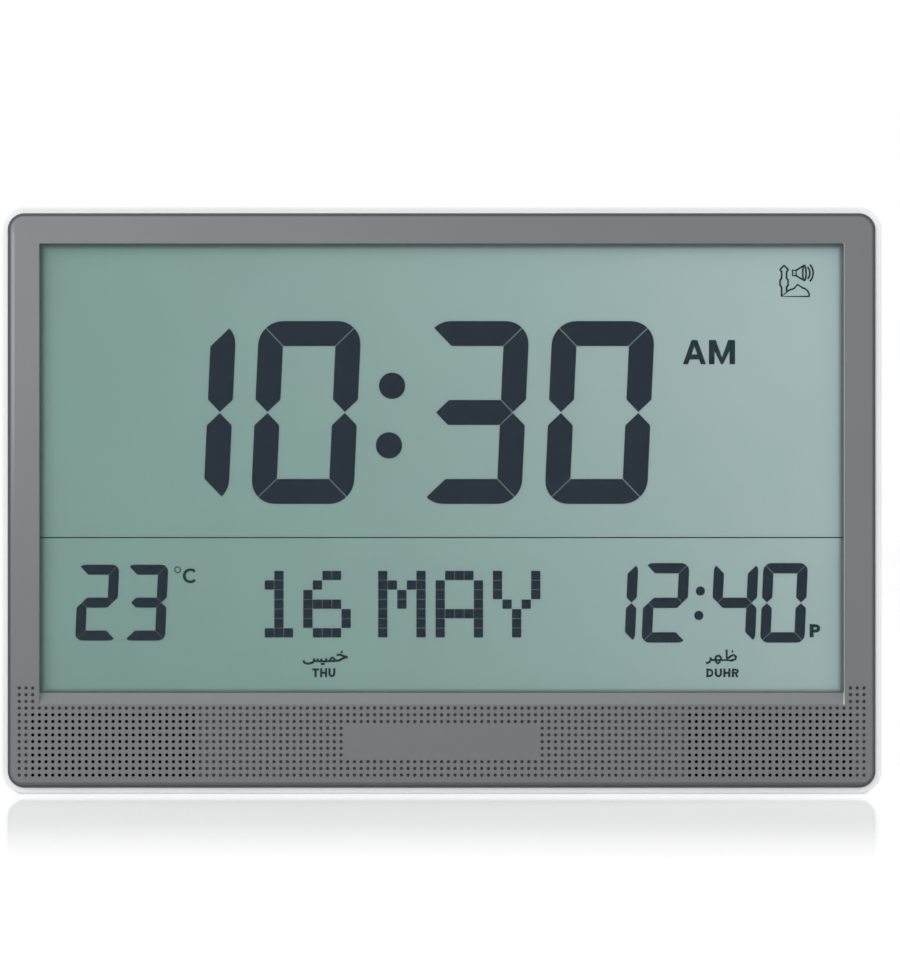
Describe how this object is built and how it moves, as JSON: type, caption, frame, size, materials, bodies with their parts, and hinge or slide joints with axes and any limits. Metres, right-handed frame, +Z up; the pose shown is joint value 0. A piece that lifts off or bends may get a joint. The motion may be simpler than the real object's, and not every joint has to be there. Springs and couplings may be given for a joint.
{
  "type": "azan clock",
  "caption": "Rectangular wall and table clock for prayer times: large LCD behind a clear window, dot grille over side speakers, fold-out stand, hangers and battery bay behind.",
  "frame": {"origin": "middle of the base, where the clock stands", "axes": "+X to the viewer's right, +Y from the display to the back, +Z up"},
  "size_m": [0.366, 0.032, 0.244],
  "materials": {
    "white_case": "satin moulded ABS",
    "grey_panel": "fine matt moulding",
    "clear_lens": "clear, polished",
    "lcd_cell": "reflective grey-green",
    "reflector": "brushed film",
    "black_abs": "moulded",
    "board_green": "solder mask",
    "chip_black": "epoxy",
    "steel": "zinc plated",
    "can_metal": "drawn can",
    "lead_red": "insulated lead",
    "ribbon": "flexible print",
    "foam": "foam",
    "cone_paper": "pressed paper",
    "ferrite": "ground ferrite",
    "cell_wrap": "printed sleeve",
    "contact_plate": "nickel plated",
    "key_rubber": "silicone",
    "key_grey": "moulded cap",
    "foot_rubber": "rubber pad"
  },
  "bodies": {
    "case": {"rear_housing": "white_case", "front_panel": "grey_panel", "window_lens": "clear_lens", "lcd_glass": "lcd_cell", "lcd_reflector": "reflector", "lcd_tray": "black_abs", "lcd_ribbon": "ribbon", "main_board": "board_green", "clock_chip": "chip_black", "sound_chip": "chip_black", "clock_crystal": "can_metal", "board_capacitors": "can_metal", "key_board": "board_green", "temperature_sensor": "chip_black", "board_screws": "steel", "case_screws": "steel", "speaker_leads": "lead_red", "battery_leads": "lead_red", "key_ribbon": "ribbon", "speaker_gasket_left": "foam", "speaker_frame_left": "steel", "speaker_magnet_left": "ferrite", "speaker_surround_left": "foam", "speaker_gasket_right": "foam", "speaker_frame_right": "steel", "speaker_magnet_right": "ferrite", "speaker_surround_right": "foam", "battery_cells": "cell_wrap", "battery_contacts": "contact_plate", "key_mat": "key_rubber", "switch_base": "black_abs"},
    "stand": {"stand": "white_case", "stand_pad": "foot_rubber"},
    "door": {"battery_door": "white_case"},
    "cone_left": {"speaker_cone_left": "cone_paper"},
    "cone_right": {"speaker_cone_right": "cone_paper"},
    "set_key": {"set_key": "key_grey"},
    "mode_key": {"mode_key": "key_grey"},
    "city_key": {"city_key": "key_grey"},
    "prayer_key": {"prayer_key": "key_grey"},
    "alarm_key": {"alarm_key": "key_grey"},
    "volume_key": {"volume_key": "key_grey"},
    "up_key": {"up_key": "key_grey"},
    "down_key": {"down_key": "key_grey"},
    "switch": {"switch_knob": "key_grey"}
  },
  "joints": [
    {"name": "stand_hinge", "type": "hinge", "parent": "case", "child": "stand", "pos_m": [0, 0.01345, 0.114], "axis": [1, 0, 0], "range_deg": [0, 40]},
    {"name": "door_hinge", "type": "hinge", "parent": "case", "child": "door", "pos_m": [0.1, 0.0158, 0.09885], "axis": [-1, 0, 0], "range_deg": [0, 100]},
    {"name": "cone_left_travel", "type": "slide", "parent": "case", "child": "cone_left", "axis": [0, -1, 0], "range_m": [-0.0005, 0.0005], "stiffness_N_per_m": 900, "deforming": ["speaker_surround_left"]},
    {"name": "cone_right_travel", "type": "slide", "parent": "case", "child": "cone_right", "axis": [0, -1, 0], "range_m": [-0.0005, 0.0005], "stiffness_N_per_m": 900, "deforming": ["speaker_surround_right"]},
    {"name": "set_key_press", "type": "slide", "parent": "case", "child": "set_key", "axis": [0, -1, 0], "range_m": [0, 0.0008], "stiffness_N_per_m": 1250, "deforming": ["key_mat"]},
    {"name": "mode_key_press", "type": "slide", "parent": "case", "child": "mode_key", "axis": [0, -1, 0], "range_m": [0, 0.0008], "stiffness_N_per_m": 1250, "deforming": ["key_mat"]},
    {"name": "city_key_press", "type": "slide", "parent": "case", "child": "city_key", "axis": [0, -1, 0], "range_m": [0, 0.0008], "stiffness_N_per_m": 1250, "deforming": ["key_mat"]},
    {"name": "prayer_key_press", "type": "slide", "parent": "case", "child": "prayer_key", "axis": [0, -1, 0], "range_m": [0, 0.0008], "stiffness_N_per_m": 1250, "deforming": ["key_mat"]},
    {"name": "alarm_key_press", "type": "slide", "parent": "case", "child": "alarm_key", "axis": [0, -1, 0], "range_m": [0, 0.0008], "stiffness_N_per_m": 1250, "deforming": ["key_mat"]},
    {"name": "volume_key_press", "type": "slide", "parent": "case", "child": "volume_key", "axis": [0, -1, 0], "range_m": [0, 0.0008], "stiffness_N_per_m": 1250, "deforming": ["key_mat"]},
    {"name": "up_key_press", "type": "slide", "parent": "case", "child": "up_key", "axis": [0, -1, 0], "range_m": [0, 0.0008], "stiffness_N_per_m": 1250, "deforming": ["key_mat"]},
    {"name": "down_key_press", "type": "slide", "parent": "case", "child": "down_key", "axis": [0, -1, 0], "range_m": [0, 0.0008], "stiffness_N_per_m": 1250, "deforming": ["key_mat"]},
    {"name": "switch_slide", "type": "slide", "parent": "case", "child": "switch", "axis": [1, 0, 0], "range_m": [0, 0.0025]}
  ]
}
